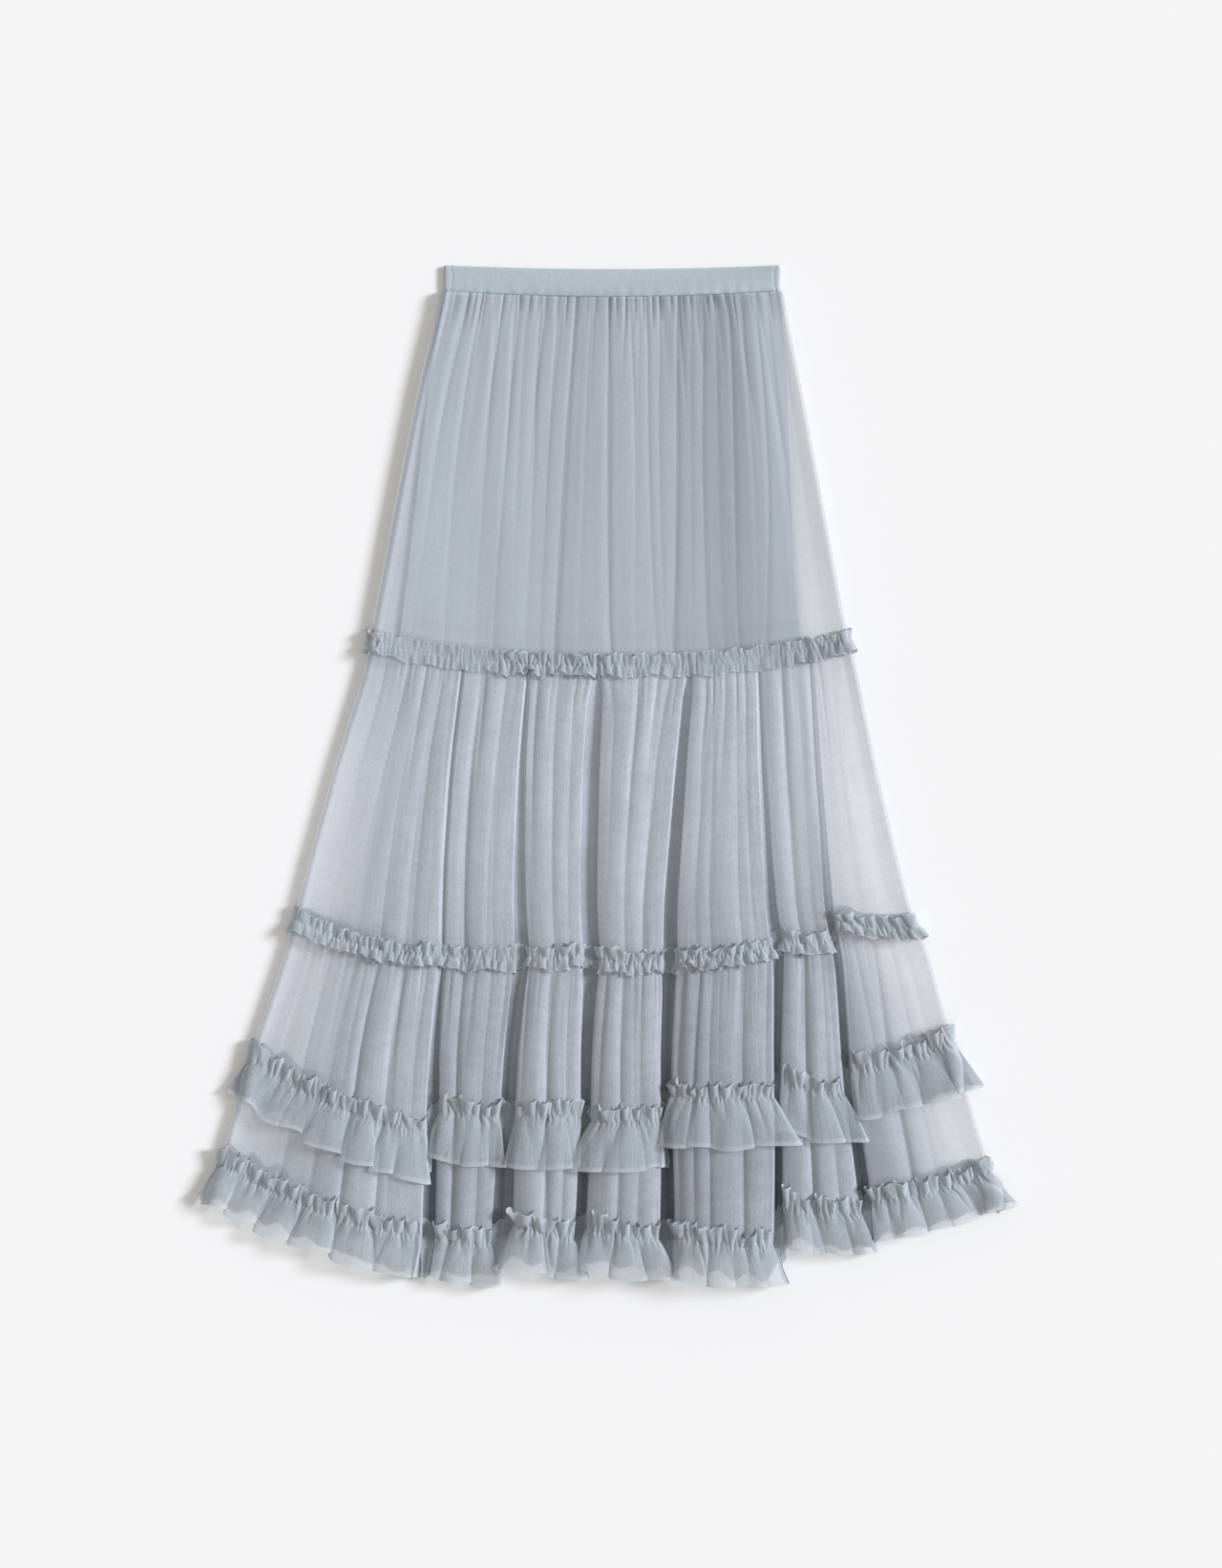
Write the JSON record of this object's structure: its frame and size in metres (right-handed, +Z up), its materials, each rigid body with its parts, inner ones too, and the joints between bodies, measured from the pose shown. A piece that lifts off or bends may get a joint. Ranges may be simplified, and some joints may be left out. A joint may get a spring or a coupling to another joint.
{
  "type": "tulle skirt",
  "caption": "Long tiered tulle skirt laid flat: elastic waistband, short lining, gathered sheer tiers, frilled seams and ruffled flounces at the hem.",
  "frame": {"origin": "middle of the floor rectangle that the laid skirt covers, on the surface it lies on", "axes": "+Y from the hem towards the waistband, +X to the right as the front is seen, +Z up off the surface"},
  "size_m": [0.7716, 0.9626, 0.0393],
  "materials": {
    "tulle": "sheer matte net",
    "frill": "doubled matte net",
    "lining": "opaque matte jersey",
    "band": "soft matte elastic"
  },
  "bodies": {
    "root": {"waistband_back": "band", "waistband_front": "band", "lining_back": "lining", "lining_front": "lining", "upper_tier_front": "tulle", "upper_tier_back": "tulle", "middle_tier_front": "tulle", "middle_tier_back": "tulle", "lower_tier_front": "tulle", "lower_tier_back": "tulle", "upper_frill_front": "frill", "upper_frill_back": "frill", "lower_frill_front": "frill", "lower_frill_back": "frill", "upper_flounce_front": "frill", "upper_flounce_back": "frill", "hem_flounce_front": "frill", "hem_flounce_back": "frill"}
  },
  "joints": []
}
